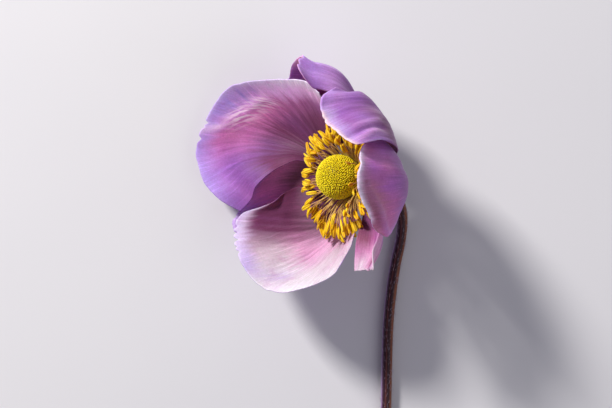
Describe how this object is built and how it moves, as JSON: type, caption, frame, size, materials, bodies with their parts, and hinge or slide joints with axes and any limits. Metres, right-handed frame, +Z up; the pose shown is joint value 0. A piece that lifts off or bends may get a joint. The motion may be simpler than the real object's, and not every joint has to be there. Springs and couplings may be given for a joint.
{
  "type": "cut anemone flower",
  "caption": "Cut Japanese anemone bloom with cupped lilac tepals, a ring of golden stamens round a yellow-green globe, and a curved plum stem, lying on its side.",
  "frame": {"origin": "middle of the bottom of the bounding box, on the surface that the flower lies on", "axes": "+Z up from that surface, +Y along the stem from its cut end towards the bloom, +X towards the back of the bloom"},
  "size_m": [0.0442, 0.0996, 0.0433],
  "materials": {
    "tepal": "soft matt petal, lilac with pink veins, paler at the rim",
    "stem": "dark plum, finely hairy",
    "boss": "yellow-green, finely bumpy",
    "stamen": "golden, powdery anthers on pale filaments"
  },
  "bodies": {
    "root": {"stem": "stem", "tepal_left": "tepal", "tepal_back": "tepal", "tepal_lower": "tepal", "tepal_folded": "tepal", "tepal_right": "tepal", "tepal_upper": "tepal", "tepal_top": "tepal", "boss": "boss", "stamens": "stamen"}
  },
  "joints": []
}
